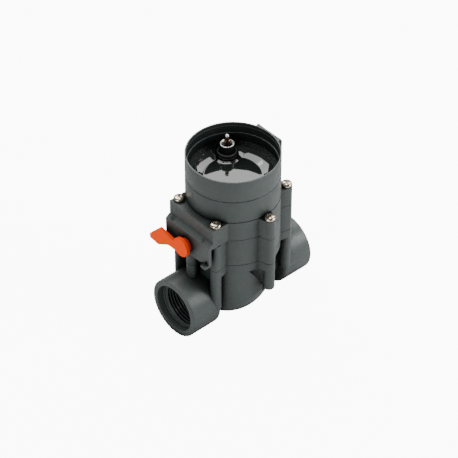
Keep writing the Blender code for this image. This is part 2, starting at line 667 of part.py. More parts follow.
def make_spindle(start):
    """Spindle with a raised eccentric that pushes the bleed pin down as the lever turns."""
    axis = (0, SPINDLE_Z)
    spindle = cylinder_x("lever_spindle", SPINDLE_R, start, SPINDLE_END_X, BLACK_PLASTIC, at=axis,
                         segments=18)
    cam_low, cam_high = BLEED_X - 1.6 * MM, BLEED_X + 1.6 * MM
    waste = cylinder_x("cam_waste", SPINDLE_R + MM, cam_low, cam_high, at=axis, segments=18)
    cut(waste, cylinder_x("cam", CAM_R, cam_low - MM, cam_high + MM,
                          at=(0, SPINDLE_Z + CAM_RISE), segments=16))
    cut(spindle, waste)


def make_bleed_pin():
    top = SPINDLE_Z + CAM_RISE - CAM_R - GAP
    cylinder("bleed_pin", 1.1 * MM, 56 * MM, top, BRASS, at=(BLEED_X, 0), segments=16)
    o_ring("pilot_duct_seal", 2 * MM, 0.4 * MM, (BLEED_X, 0, DUCT_SPLIT_Z - 0.6 * MM), segments=12)


# ---------------------------------------------------------------- seals and screws

def make_seals():
    o_ring("bonnet_seal", 16.5 * MM, 0.75 * MM, (0, 0, 96.2 * MM), segments=32)
    o_ring("cup_seal", 31.55 * MM, 0.4 * MM, (0, 0, CUP_BASE + 0.3 * MM), segments=32)


def screw_head_profile():
    dome = 1.4 * MM
    low = BONNET_TOP + GAP
    rim = low + HEAD_HEIGHT - dome
    steps = 3
    angles = [math.pi / 2 * i / steps for i in range(steps + 1)]
    return [(HEAD_R * math.sin(a), rim + dome * math.cos(a)) for a in angles] + [(HEAD_R, low)]


def make_cover_screws():
    recess_half, arm = 0.45 * MM, 2 * MM
    top = BONNET_TOP + GAP + HEAD_HEIGHT
    for i, angle in enumerate(BOLT_ANGLES):
        x, y = on_bolt_circle(angle)
        low = BONNET_TOP + GAP
        profile = screw_head_profile() + [(SCREW_R, low), (SCREW_R, SCREW_TIP_Z + 2 * MM),
                                          (0.6 * MM, SCREW_TIP_Z), (0, SCREW_TIP_Z)]
        screw = turned(f"cover_screw_{i + 1}", profile, STEEL, (x, y, 0), segments=12)
        turn = math.radians(20 + 37 * i)
        for arm_number in range(2):
            tool = box(f"recess_{i + 1}_{arm_number + 1}", (-arm, -recess_half, top - 1.1 * MM),
                       (arm, recess_half, top + 1 * MM), turn=turn + math.pi / 2 * arm_number)
            tool.location = (x, y, 0)
            cut(screw, tool)


make_valve_body()
make_chamber_ring()
make_bonnet()
make_solenoid_housing()
make_control_cup()
make_resin()
make_contact()
make_lead_wires()
make_solenoid()
make_diaphragm()
make_lever()
make_bleed_pin()
make_seals()
make_cover_screws()
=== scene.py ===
"""Looks of the in-line diaphragm valve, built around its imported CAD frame.

Lengths in this file are millimetres in the frame's own axes; a mesh is scaled to metres when made.
"""
import json
import math

import bmesh
import bpy
from mathutils import Matrix, Vector
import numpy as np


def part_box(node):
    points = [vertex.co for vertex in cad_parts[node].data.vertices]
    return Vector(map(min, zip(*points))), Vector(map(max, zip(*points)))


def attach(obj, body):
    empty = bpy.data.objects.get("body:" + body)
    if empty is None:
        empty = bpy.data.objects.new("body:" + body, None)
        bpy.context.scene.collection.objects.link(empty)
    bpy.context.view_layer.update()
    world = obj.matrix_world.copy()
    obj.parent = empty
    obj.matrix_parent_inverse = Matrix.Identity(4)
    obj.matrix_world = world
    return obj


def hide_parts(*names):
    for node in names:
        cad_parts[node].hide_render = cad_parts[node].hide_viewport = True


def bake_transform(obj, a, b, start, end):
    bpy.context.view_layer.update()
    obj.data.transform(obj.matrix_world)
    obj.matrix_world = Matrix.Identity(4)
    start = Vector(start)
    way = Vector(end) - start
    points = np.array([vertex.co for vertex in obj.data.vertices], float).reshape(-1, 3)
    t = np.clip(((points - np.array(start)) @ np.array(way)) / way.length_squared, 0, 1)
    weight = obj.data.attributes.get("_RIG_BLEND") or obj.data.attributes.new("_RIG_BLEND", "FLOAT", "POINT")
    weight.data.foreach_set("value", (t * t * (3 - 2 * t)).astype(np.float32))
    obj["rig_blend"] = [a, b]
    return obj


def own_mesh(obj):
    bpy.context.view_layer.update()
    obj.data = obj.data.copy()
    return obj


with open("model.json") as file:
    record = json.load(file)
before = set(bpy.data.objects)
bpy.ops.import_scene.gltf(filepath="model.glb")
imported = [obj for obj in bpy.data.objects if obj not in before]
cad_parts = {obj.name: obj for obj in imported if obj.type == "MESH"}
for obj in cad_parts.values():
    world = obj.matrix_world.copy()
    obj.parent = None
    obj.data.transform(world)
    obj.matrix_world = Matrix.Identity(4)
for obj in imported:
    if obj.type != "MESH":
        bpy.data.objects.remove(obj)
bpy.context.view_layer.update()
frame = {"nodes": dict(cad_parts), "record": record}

TURN = 2 * math.pi
METRE = 1000.0
NODES = frame["nodes"]


def low_z(node):
    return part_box(node)[0].z * METRE


def high_z(node):
    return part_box(node)[1].z * METRE


# Heights and reaches that the CAD sets
BODY_TOP = high_z("valve_body")
RING_LOW, RING_TOP = low_z("chamber_ring"), high_z("chamber_ring")
BONNET_LOW = RING_TOP + 0.3
BONNET_TOP = high_z("bonnet")
HOUSING_LOW, HOUSING_TOP = BONNET_TOP + 0.3, high_z("solenoid_housing")
CUP_LOW, RIM_Z = HOUSING_TOP + 0.3, high_z("control_cup")
RESIN_TOP = high_z("potting_resin")
HALF_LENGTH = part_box("valve_body")[1].x * METRE
BARREL_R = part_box("solenoid_housing")[1].x * METRE
FLANGE_Z = 52.0
PIPE_Z = 22.0
CHAMBER_R = 27.0
LEVER_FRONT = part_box("manual_lever")[0].x * METRE

# Screw circle
BOLT_R = 37.4
HEADINGS = [30 + 60 * i for i in range(6)]
COLUMN_R = 4.1
SCREW_HOLE_R = 2.4

# Lever block
BLOCK_X, BLOCK_Y = -38.0, 22.3
FACE_X = -41.8
SHOULDER_Z, SHOULDER_SLOPE = 83.8, 0.68
SPINDLE_Z = (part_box("lever_spindle")[0].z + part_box("lever_spindle")[1].z) / 2 * METRE
SPINDLE_END_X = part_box("lever_spindle")[1].x * METRE
BLEED_X = -37.4
DUCT_SPLIT_Z = 55.0

# Contact post
POST = (11.5, 19.1)
POST_AT = (*POST, 0)
POST_BASE_R = 7.9
POST_TOP, POST_STEP = 121.3, 114.2


# ---------------------------------------------------------------- mesh helpers

def piece_from(name, bm):
    """Object made from a mesh in millimetres."""
    bmesh.ops.recalc_face_normals(bm, faces=bm.faces)
    bmesh.ops.scale(bm, vec=(1 / METRE,) * 3, verts=bm.verts)
    mesh = bpy.data.meshes.new(name)
    bm.to_mesh(mesh)
    bm.free()
    obj = bpy.data.objects.new(name, mesh)
    bpy.context.scene.collection.objects.link(obj)
    return obj


def rounded(points, radii, steps=4):
    """Round the corners of a closed outline; radii gives one radius for each point."""
    out = []
    for i, (point, radius) in enumerate(zip(points, radii)):
        corner = Vector(point)
        before = Vector(points[i - 1]) - corner
        after = Vector(points[(i + 1) % len(points)]) - corner
        if radius <= 0:
            out.append(tuple(corner))
            continue
        half = before.angle(after) / 2
        reach = min(radius / math.tan(half), 0.49 * before.length, 0.49 * after.length)
        radius = reach * math.tan(half)
        inward = (before.normalized() + after.normalized()).normalized()
        centre = corner + inward * radius / math.sin(half)
        start = corner + before.normalized() * reach - centre
        end = corner + after.normalized() * reach - centre
        sweep = start.angle(end)
        for k in range(steps + 1):
            t = k / steps
            ray = (start * math.sin((1 - t) * sweep) + end * math.sin(t * sweep)) / math.sin(sweep)
            out.append(tuple(centre + ray))
    return out


def lathe(name, profile, ring=False, segments=96, at=(0, 0, 0), axis="Z"):
    """Turn (radius, height) points about an axis. A radius may be a function of the angle."""
    bm = bmesh.new()
    place = {"Z": lambda r, c, s, h: (r * c, r * s, h),
             "X": lambda r, c, s, h: (h, r * c, r * s),
             "-X": lambda r, c, s, h: (-h, -r * c, r * s)}[axis]
    angles = [TURN * i / segments for i in range(segments)]
    circles = []
    for radius, height in profile:
        if not callable(radius) and radius <= 0:
            continue
        circle = []
        for a in angles:
            r = radius(a) if callable(radius) else radius
            spot = Vector(place(r, math.cos(a), math.sin(a), height)) + Vector(at)
            circle.append(bm.verts.new(spot))
        circles.append(circle)
    following = circles[1:] + circles[:1] if ring else circles[1:]
    for circle, other in zip(circles, following):
        for i in range(segments):
            bm.faces.new((circle[i - 1], circle[i], other[i], other[i - 1]))
    if not ring:
        for circle, end, beside in ((circles[0], profile[0], profile[1]),
                                    (circles[-1], profile[-1], profile[-2])):
            cap = bm.faces.new(circle)
            if abs(end[1] - beside[1]) > 1e-6:
                tip = bmesh.ops.poke(bm, faces=[cap])["verts"][0]
                tip.co = Vector(place(0, 1, 0, end[1])) + Vector(at)
    return piece_from(name, bm)


def rod(name, radius, low, high, at=(0, 0, 0), segments=48, axis="Z"):
    """Solid cylinder between two heights on its axis."""
    return lathe(name, [(0, high), (radius, high), (radius, low), (0, low)],
                 segments=segments, at=at, axis=axis)


def tube(name, outer, inner, low, high, at, segments):
    """Upright tube with slightly rounded ends."""
    edge = 0.2
    profile = rounded([(outer, high), (outer, low), (inner, low), (inner, high)], [edge] * 4, 2)
    return lathe(name, profile, ring=True, segments=segments, at=at)


def block(name, low, high, turn=0.0):
    """Box between two corners, turned about the Z axis (degrees)."""
    bm = bmesh.new()
    bmesh.ops.create_cube(bm, size=1)
    size, centre = Vector(high) - Vector(low), (Vector(high) + Vector(low)) / 2
    place = (Matrix.Rotation(math.radians(turn), 4, "Z") @ Matrix.Translation(centre)
             @ Matrix.Diagonal((*size, 1)))
    bmesh.ops.transform(bm, matrix=place, verts=bm.verts)
    return piece_from(name, bm)


def slab(name, outline, low, high, plane="XY"):
    """Outline extruded along the third axis; plane names the outline's own two axes."""
    bm = bmesh.new()
    place = {"XY": lambda u, v, w: (u, v, w),
             "XZ": lambda u, v, w: (u, w, v),
             "YZ": lambda u, v, w: (w, u, v)}[plane]
    near = [bm.verts.new(place(u, v, low)) for u, v in outline]
    far = [bm.verts.new(place(u, v, high)) for u, v in outline]
    bm.faces.new(near)
    bm.faces.new(far)
    for i in range(len(outline)):
        bm.faces.new((near[i - 1], near[i], far[i], far[i - 1]))
    return piece_from(name, bm)


def bake(obj):
    """Apply an object's modifiers to its mesh."""
    graph = bpy.context.evaluated_depsgraph_get()
    mesh = bpy.data.meshes.new_from_object(obj.evaluated_get(graph))
    obj.modifiers.clear()
    obj.data = mesh
    return obj


def combine(obj, operation, tools):
    """Boolean of an object with each tool in turn; the tools are used up."""
    for tool in tools:
        modifier = obj.modifiers.new("combine", "BOOLEAN")
        modifier.operation = operation
        modifier.solver = "EXACT"
        modifier.object = tool
        bake(obj)
        bpy.data.objects.remove(tool)
    return obj


def join(obj, *tools):
    return combine(obj, "UNION", tools)


def cut(obj, *tools):
    return combine(obj, "DIFFERENCE", tools)


def keep(obj, *tools):
    return combine(obj, "INTERSECT", tools)


def soften(obj, width, angle=34):
    """Round the edges sharper than the angle (degrees) and shade the rest smooth."""
    bevel = obj.modifiers.new("edges", "BEVEL")
    bevel.width = width / METRE
    bevel.segments = 2
    bevel.limit_method = "ANGLE"
    bevel.angle_limit = math.radians(angle)
    bevel.use_clamp_overlap = True
    bevel.harden_normals = True
    return shade(obj)


def shade(obj, angle=34):
    """Shade smooth, except across edges sharper than the angle (degrees)."""
    mesh = obj.data
    mesh.polygons.foreach_set("use_smooth", [True] * len(mesh.polygons))
    mesh.set_sharp_from_angle(angle=math.radians(angle))
    return obj


def arc(centre, radius, start, stop, steps):
    """Points along an arc between two headings in degrees."""
    angles = [math.radians(start + (stop - start) * i / steps) for i in range(steps + 1)]
    return [(centre[0] + radius * math.cos(a), centre[1] + radius * math.sin(a)) for a in angles]


def turned_point(x, y, degrees):
    """Point turned about the origin."""
    c, s = math.cos(math.radians(degrees)), math.sin(math.radians(degrees))
    return (x * c - y * s, x * s + y * c)


def bolt_point(heading):
    """Axis of the screw at a heading, as a place on the ground plane."""
    return (*turned_point(BOLT_R, 0, heading), 0)


# ---------------------------------------------------------------- materials

# Openness below the first number counts as shut in, and above the second as open
SHUT_IN, IN_THE_OPEN = 0.42, 0.97
RECESS_REACH = 0.022
GRAIN_PER_METRE = 1000 / 0.35 / 2
# Colour that the painted shade in recesses darkens towards.
DEEP_SHADE = (0.002, 0.003, 0.003)


def tree_of(name):
    """New material, its node tree and its shader."""
    mat = bpy.data.materials.new(name)
    mat.use_nodes = True
    return mat, mat.node_tree, mat.node_tree.nodes["Principled BSDF"]


def add(tree, kind, **inputs):
    """New shader node with its inputs set by name."""
    node = tree.nodes.new(kind)
    for key, value in inputs.items():
        node.inputs[key.replace("_", " ")].default_value = value
    return node


def noise(tree, scale, detail=3.0, roughness=0.55, stretch=None):
    """Noise over the object's own coordinates; scale is in features per metre."""
    coords = tree.nodes.new("ShaderNodeTexCoord")
    node = add(tree, "ShaderNodeTexNoise", Scale=scale, Detail=detail, Roughness=roughness)
    if stretch:
        mapping = add(tree, "ShaderNodeMapping", Scale=stretch)
        tree.links.new(coords.outputs["Object"], mapping.inputs["Vector"])
        tree.links.new(mapping.outputs["Vector"], node.inputs["Vector"])
    else:
        tree.links.new(coords.outputs["Object"], node.inputs["Vector"])
    return node.outputs["Fac"]


def ramp(tree, value, low, high, start=0.3, stop=0.7):
    """Map a 0 to 1 value onto a number between low and high."""
    node = tree.nodes.new("ShaderNodeMapRange")
    node.inputs["From Min"].default_value = start
    node.inputs["From Max"].default_value = stop
    node.inputs["To Min"].default_value = low
    node.inputs["To Max"].default_value = high
    tree.links.new(value, node.inputs["Value"])
    return node.outputs["Result"]


def mix(tree, factor, first, second):
    """Colour between two colours or sockets; the factor is a socket."""
    node = tree.nodes.new("ShaderNodeMix")
    node.data_type = "RGBA"
    sockets = {s.name: s for s in node.inputs if s.type == "RGBA"}
    for socket, value in ((sockets["A"], first), (sockets["B"], second)):
        if isinstance(value, tuple):
            socket.default_value = (*value, 1)
        else:
            tree.links.new(value, socket)
    factor_socket = next(s for s in node.inputs if s.name == "Factor" and s.type == "VALUE")
    tree.links.new(factor, factor_socket)
    return next(s for s in node.outputs if s.type == "RGBA")


def bump(tree, shader, height, strength, distance):
    """Bump the shader's surface by a height socket; distance is in metres."""
    node = add(tree, "ShaderNodeBump", Strength=strength, Distance=distance)
    tree.links.new(height, node.inputs["Height"])
    tree.links.new(node.outputs["Normal"], shader.inputs["Normal"])


def openness(tree, reach=RECESS_REACH):
    """1 on a surface in the open, falling to 0 where walls close it in within the reach (metres)."""
    node = add(tree, "ShaderNodeAmbientOcclusion", Distance=reach)
    node.samples = 8
    return node.outputs["AO"]


def moulded(name, colour, dark, rough, grain=0.35, specular=0.5, recess=0.1, reach=RECESS_REACH):
    """Moulded plastic: fine spark-eroded grain, faint flow marks, and painted shade in its recesses, where
    ambient occlusion darkens the colour and the gloss.

    recess is the share of colour and gloss that the painted shade leaves where walls within the reach shut a
    place in.
    """
    mat, tree, shader = tree_of(name)
    flow = noise(tree, 45, 4, 0.6, (1, 1, 0.35))
    speck = noise(tree, GRAIN_PER_METRE, 2)
    tint = mix(tree, ramp(tree, flow, 0, 1), dark, colour)
    light = tuple(min(1, c * 1.12 + 0.004) for c in colour)
    tint = mix(tree, ramp(tree, speck, 0, 0.5, 0.45, 0.75), tint, light)
    clear = openness(tree, reach)
    # Painted shade: the colour darkens towards DEEP_SHADE where ambient occlusion finds walls within the
    # reach.
    tint = mix(tree, ramp(tree, clear, recess, 1.0, SHUT_IN, IN_THE_OPEN), DEEP_SHADE, tint)
    tree.links.new(tint, shader.inputs["Base Color"])
    patch = noise(tree, 120, 3)
    tree.links.new(ramp(tree, patch, rough - 0.05, rough + 0.07), shader.inputs["Roughness"])
    # Painted shade on the gloss too: the specular level falls in the same recesses.
    gloss = ramp(tree, clear, recess * specular, specular, SHUT_IN, IN_THE_OPEN)
    tree.links.new(gloss, shader.inputs["Specular IOR Level"])
    bump(tree, shader, speck, grain, 0.00006)
    return mat


def orange_with_painted_glow(name):
    """High-visibility orange with a painted glow: it emits orange light, more where ambient occlusion finds
    it open, and its recesses take painted shade.
    """
    mat = moulded(name, (1.0, 0.074, 0.0), (0.97, 0.066, 0.0), 0.45, grain=0.15, specular=0.012,
                  recess=0.04)
    tree = mat.node_tree
    shader = tree.nodes["Principled BSDF"]
    # Painted glow: emission that brightens the orange though it is no lamp.
    shader.inputs["Emission Color"].default_value = (1.0, 0.06, 0.0, 1)
    glow = ramp(tree, openness(tree), 0.1, 0.4, 0.3, IN_THE_OPEN)
    tree.links.new(glow, shader.inputs["Emission Strength"])
    return mat


def metal(name, colour, dark, rough, stretch=None):
    """Metal with fine tool marks and a slightly uneven plated surface."""
    mat, tree, shader = tree_of(name)
    shader.inputs["Metallic"].default_value = 1
    stain = noise(tree, 220, 4, 0.6)
    tree.links.new(mix(tree, ramp(tree, stain, 0, 1), dark, colour), shader.inputs["Base Color"])
    marks = noise(tree, 900, 3, 0.6, stretch)
    tree.links.new(ramp(tree, marks, rough - 0.06, rough + 0.1), shader.inputs["Roughness"])
    bump(tree, shader, marks, 0.12, 0.00003)
    return mat


def rubber(name, colour, dark):
    """Matt rubber with a fine, cloudy surface."""
    mat, tree, shader = tree_of(name)
    cloud = noise(tree, 300, 3)
    tree.links.new(mix(tree, ramp(tree, cloud, 0, 1), dark, colour), shader.inputs["Base Color"])
    tree.links.new(ramp(tree, cloud, 0.5, 0.68), shader.inputs["Roughness"])
    bump(tree, shader, noise(tree, 1600, 2), 0.2, 0.00005)
    return mat


def cast_resin(name):
    """Poured black epoxy: a mirror-like skin with slow ripples and a few dust specks."""
    mat, tree, shader = tree_of(name)
    cloud = noise(tree, 90, 3)
    tint = mix(tree, ramp(tree, cloud, 0, 1), (0.011, 0.014, 0.0135), (0.016, 0.02, 0.019))
    tree.links.new(tint, shader.inputs["Base Color"])
    dust = noise(tree, 1900, 1)
    tree.links.new(ramp(tree, dust, 0.04, 0.2, 0.62, 0.8), shader.inputs["Roughness"])
    shader.inputs["Specular IOR Level"].default_value = 0.6
    shader.inputs["Coat Weight"].default_value = 0.6
    shader.inputs["Coat Roughness"].default_value = 0.02
    bump(tree, shader, noise(tree, 55, 2, 0.4), 0.25, 0.0006)
    return mat


def wound_copper(name):
    """Layers of enamelled wire: fine rings along Z over a copper tone."""
    mat, tree, shader = tree_of(name)
    shader.inputs["Metallic"].default_value = 1
    coords = tree.nodes.new("ShaderNodeTexCoord")
    wave = add(tree, "ShaderNodeTexWave", Scale=600.0, Distortion=0.4)
    wave.bands_direction = "Z"
    tree.links.new(coords.outputs["Object"], wave.inputs["Vector"])
    tint = mix(tree, wave.outputs["Fac"], (0.35, 0.1, 0.04), (0.75, 0.3, 0.13))
    tree.links.new(tint, shader.inputs["Base Color"])
    tree.links.new(ramp(tree, noise(tree, 500), 0.25, 0.42), shader.inputs["Roughness"])
    bump(tree, shader, wave.outputs["Fac"], 0.6, 0.0001)
    return mat


MATERIALS = {
    "body_plastic": moulded("body_plastic", (0.084, 0.101, 0.097), (0.068, 0.083, 0.079), 0.4),
    # The cup's inner faces: a slightly darker tone, plus painted shade reaching 60 mm that darkens them
    # almost to black.
    "cup_inside_painted_shade": moulded("cup_inside_painted_shade", (0.07, 0.086, 0.082), (0.057, 0.07, 0.066), 0.38,
                          grain=0.2, recess=0.02, reach=0.06),
    "black_plastic": moulded("black_plastic", (0.016, 0.016, 0.017), (0.01, 0.01, 0.011), 0.3,
                             grain=0.15),
    "white_plastic": moulded("white_plastic", (0.74, 0.72, 0.66), (0.66, 0.64, 0.58), 0.4),
    "orange_plastic": orange_with_painted_glow("orange_plastic"),
    "potting_resin": cast_resin("potting_resin"),
    "seal_rubber": rubber("seal_rubber", (0.02, 0.02, 0.02), (0.01, 0.01, 0.01)),
    "diaphragm_rubber": rubber("diaphragm_rubber", (0.03, 0.03, 0.03), (0.015, 0.015, 0.015)),
    "stainless_steel": metal("stainless_steel", (0.86, 0.77, 0.63), (0.66, 0.57, 0.44), 0.15),
    "nickel_plated_steel": metal("nickel_plated_steel", (0.95, 0.92, 0.86), (0.82, 0.78, 0.7), 0.4),
    "dark_brown_steel": metal("dark_brown_steel", (0.13, 0.065, 0.04), (0.06, 0.03, 0.02), 0.3),
    "brass": metal("brass", (0.8, 0.55, 0.22), (0.6, 0.38, 0.13), 0.22, (1, 1, 6)),
    "copper": wound_copper("copper"),
}


def finish_piece(obj, slot, nodes, body="valve"):
    """Give a piece its material, its body and the CAD nodes that it stands for."""
    obj.data.materials.clear()
    obj.data.materials.append(MATERIALS[slot])
    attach(obj, body)
    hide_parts(*nodes)
    return obj


# ---------------------------------------------------------------- outlines of the clamp stack

def lug(heading):
    """Round nose of one screw column."""
    nose = arc((BOLT_R, 0), COLUMN_R, -62, 62, 12)
    return [turned_point(x, y, heading) for x, y in nose]


def barrel_outline(with_block=False):
    """Round barrel with six screw lugs; the lever block takes the place of the two at 150 and 210."""
    lug_root = 5.7
    root = math.degrees(math.asin(lug_root / BARREL_R))
    corner = math.degrees(math.asin(BLOCK_Y / BARREL_R))
    outline = []
    for heading in HEADINGS:
        at_block = with_block and heading in (150, 210)
        if at_block and heading == 150:
            outline += arc((0, 0), BARREL_R, 90 + root, 180 - corner, 10)
            outline += [(BLOCK_X, BLOCK_Y), (BLOCK_X, -BLOCK_Y)]
        elif at_block:
            outline += arc((0, 0), BARREL_R, 180 + corner, 270 - root, 10)
        else:
            outline += lug(heading)
            if not (with_block and heading == 90):
                outline += arc((0, 0), BARREL_R, heading + root, heading + 60 - root, 14)
    return outline


def screw_holes(low, high):
    return [rod(f"hole_{i}", SCREW_HOLE_R, low, high, bolt_point(heading), 20)
            for i, heading in enumerate(HEADINGS)]


# ---------------------------------------------------------------- valve body

BELLY_X, BELLY_R, BELLY_DEPTH, BELLY_POWER = -5.5, 33.6, 42.0, 2.05
WALL = 3.0
FLOW_R = 10.5
SEAT_R = FLOW_R + WALL


def bowl(name, radius, depth, floor, clip_r, top, segments=128, rings=18):
    """Superelliptic bowl around the seat, trimmed to the barrel's radius."""
    profile = [(0, top), (radius, top)]
    for i in range(rings):
        sink = math.sin(math.pi / 2 * i / rings)
        profile.append((radius * (1 - sink ** BELLY_POWER) ** (1 / BELLY_POWER),
                        floor + depth - depth * sink))
    profile.append((0, floor))
    obj = lathe(name, profile, segments=segments, at=(BELLY_X, 0, 0))
    return keep(obj, rod(name + "_clip", clip_r, floor - 5, top + 5, segments=128))


def relief(name, offset):
    """Wedge that frees the outlet side of the belly under the clamp flange."""
    step_x, step_z, floor, top = -1.5 - offset, 36.4, 28.0 - offset, BODY_TOP + 2
    steepness, past = 1.4, 45
    outline = [(step_x - (top - step_z) / steepness, top), (step_x, step_z), (step_x, floor),
               (past, floor), (past, top)]
    return slab(name, outline, -past, past, "XZ")


def pipe_socket(name, axis):
    """Pipe socket with its counterbore, a real helical G 1 thread and a neck."""
    pitch, crest_r, root_r = 2.309, 15.15, 16.62
    inner, neck_r, neck_end, face = HALF_LENGTH - 25.5, SEAT_R, 21.0, HALF_LENGTH
    thread_low, thread_high = face - 21, face - 5.9

    def groove(height):
        fade = min(1, (height - thread_low) / 1.6, (thread_high - height) / 1.6)

        def radius(angle):
            phase = height / pitch - angle / TURN
            wave = abs(2 * (phase - math.floor(phase)) - 1)
            wave = min(1, max(0, 1.3 * wave - 0.15))
            return root_r - (root_r - crest_r) * wave * max(0, fade)
        return radius

    outside = rounded([(22, face), (22, inner), (neck_r, inner), (neck_r, neck_end),
                       (FLOW_R, neck_end), (FLOW_R, thread_low), (root_r, thread_low),
                       (root_r, thread_high), (17.1, face - 5), (17.5, face - 5), (17.5, face)],
                      [0.9, 3, 1.2, 0, 0, 0.4, 0, 0, 0.2, 0, 0.5])
    split = max(i for i, (_, h) in enumerate(outside) if abs(h - thread_low) < 1e-6) + 1
    steps = 78
    thread = [(groove(thread_low + (thread_high - thread_low) * i / steps),
               thread_low + (thread_high - thread_low) * i / steps) for i in range(1, steps)]
    return lathe(name, outside[:split] + thread + outside[split:], ring=True, axis=axis,
                 at=(0, 0, PIPE_Z))


def column(name, heading, low):
    """Screw column under the clamp flange, rounded at its foot."""
    radius, edge = 3.95, 1.3
    profile = [(0, FLANGE_Z + 1), (radius, FLANGE_Z + 1), (radius, low + edge)]
    profile += [(radius - edge + edge * math.cos(a), low + edge - edge * math.sin(a))
                for a in (math.pi / 8, math.pi / 4, 3 * math.pi / 8, math.pi / 2)]
    return lathe(name, profile + [(0, low)], segments=40, at=bolt_point(heading))


def make_valve_body():
    """Belly, clamp flange, screw columns, both sockets and the pilot stub in one moulding."""
    body = slab("valve_body_shell", barrel_outline(), FLANGE_Z, BODY_TOP)
    belly = bowl("belly", BELLY_R, BELLY_DEPTH, 0, BARREL_R - 0.2, FLANGE_Z + 1)
    cut(belly, relief("belly_relief", 0))
    join(body, belly, rod("seat_tube", SEAT_R, 9, FLANGE_Z + 2))
    side_foot, end_foot, web_half = 34.6, 22.5, 2.6
    for heading in HEADINGS:
        foot = side_foot if heading % 180 == 90 else end_foot
        join(body, column(f"column_{heading}", heading, foot))
    for heading in (150, 210):
        join(body, block("web", (26, -web_half, 24), (BOLT_R, web_half, FLANGE_Z + 2), heading))
    hollow = bowl("hollow", BELLY_R - WALL, BELLY_DEPTH - WALL, WALL, BARREL_R - 3.4,
                  FLANGE_Z + WALL + 1, 64, 8)
    cut(hollow, relief("hollow_relief", WALL))
    join(hollow, rod("chamber", CHAMBER_R, FLANGE_Z + WALL, BODY_TOP + 2, segments=96))
    cut(hollow, rod("seat_wall", SEAT_R - 0.1, -2, BODY_TOP + 4, segments=64),
        rod("duct_wall", SEAT_R - 0.6, 0, 40, (0, 0, PIPE_Z), axis="X"))
    cut(body, hollow)
    join(body, pipe_socket("inlet", "-X"), pipe_socket("outlet", "X"))
    cut(body, rod("inlet_way", FLOW_R - 0.3, -33.5, -19, (0, 0, PIPE_Z), axis="X"),
        rod("outlet_way", FLOW_R - 0.3, 0, 33.5, (0, 0, PIPE_Z), axis="X"),
        rod("seat_bore", FLOW_R, PIPE_Z - FLOW_R - 0.4, BODY_TOP + 2))
    cut(body, *screw_holes(40, BODY_TOP + 2))
    pocket = DUCT_SPLIT_Z - 1.4
    stub = [(4, DUCT_SPLIT_Z), (4, 40.5), (1.2, 40.5), (1.2, pocket), (2.7, pocket),
            (2.7, DUCT_SPLIT_Z)]
    join(body, lathe("pilot_stub", stub, ring=True, segments=40, at=(BLEED_X, 0, 0)))
    return finish_piece(soften(body, 0.3), "body_plastic", nodes=("valve_body",))


# ---------------------------------------------------------------- ring, bonnet, housing, cup

def make_chamber_ring():
    """Middle ring of the clamp stack, with the seat of the diaphragm's rim."""
    seat_r, seat_z = 30.8, 61.6
    ring = slab("chamber_ring_shell", barrel_outline(), RING_LOW, RING_TOP)
    bore = [(0, RING_TOP + 2), (CHAMBER_R, RING_TOP + 2), (CHAMBER_R, seat_z), (seat_r, seat_z),
            (seat_r, RING_LOW - 2), (0, RING_LOW - 2)]
    cut(ring, lathe("ring_bore", bore), *screw_holes(RING_LOW - 2, RING_TOP + 2))
    return finish_piece(soften(ring, 0.3), "body_plastic", nodes=("chamber_ring",))


def lever_face():
    """Sloped shoulder and upright front wall of the lever block, with its scalloped foot."""
    back, root, under = FACE_X + 2.4, -36.0, SHOULDER_Z - 2.1
    outline = [(FACE_X, SHOULDER_Z), (FACE_X, 60), (back, 60), (back, under), (root, under),
               (root, SHOULDER_Z + SHOULDER_SLOPE * (root - FACE_X))]
    half = BLOCK_Y - 0.02
    wall = slab("lever_face", outline, -half, half, "XZ")
    low, leg, notch = 66.3, 20.8, 72.6
    right = [(half + 1, 50), (half + 1, 68.4), (leg, 68.4), (leg, notch), (16.4, 68.7),
             (13, 66.9), (7, low)]
    foot = right + [(-y, z) for y, z in reversed(right)]
    cut(wall, slab("face_trim", foot, FACE_X - 15, FACE_X + 15, "YZ"))
    hook_front, hook_side = FACE_X - 3.4, -17.8
    hook = block("lever_stop", (hook_front, -half, 67), (back - 0.1, hook_side, 68.9))
    return join(wall, hook)


def position_marks():
    """Two raised generic marks on the shoulder: a bar in a frame, and a cross.

    Each bar is given as its place along Y, then its extent across and up the slope.
    """
    tilt = math.atan(SHOULDER_SLOPE)
    up_slope, thickness = 1.9, 0.7
    mid = Vector((FACE_X + up_slope, 0, SHOULDER_Z + SHOULDER_SLOPE * up_slope))
    marks = []
    for i, (y, u0, u1, v0, v1) in enumerate((
            (17.5, -1.5, 1.5, -1.3, -0.9), (17.5, -1.5, 1.5, 0.9, 1.3), (17.5, -1.5, -1.1, -1, 1),
            (17.5, 1.1, 1.5, -1, 1), (17.5, -0.25, 0.25, -0.6, 0.6),
            (-14, -1.4, 1.4, -0.25, 0.25), (-14, -0.25, 0.25, -1.4, 1.4))):
        bm = bmesh.new()
        bmesh.ops.create_cube(bm, size=1)
        place = (Matrix.Translation(mid + Vector((0, y, 0))) @ Matrix.Rotation(-tilt, 4, "Y")
                 @ Matrix.Translation(((v0 + v1) / 2, (u0 + u1) / 2, 0))
                 @ Matrix.Diagonal((v1 - v0, u1 - u0, thickness, 1)))
        bmesh.ops.transform(bm, matrix=place, verts=bm.verts)
        marks.append(piece_from(f"mark_{i}", bm))
    return marks


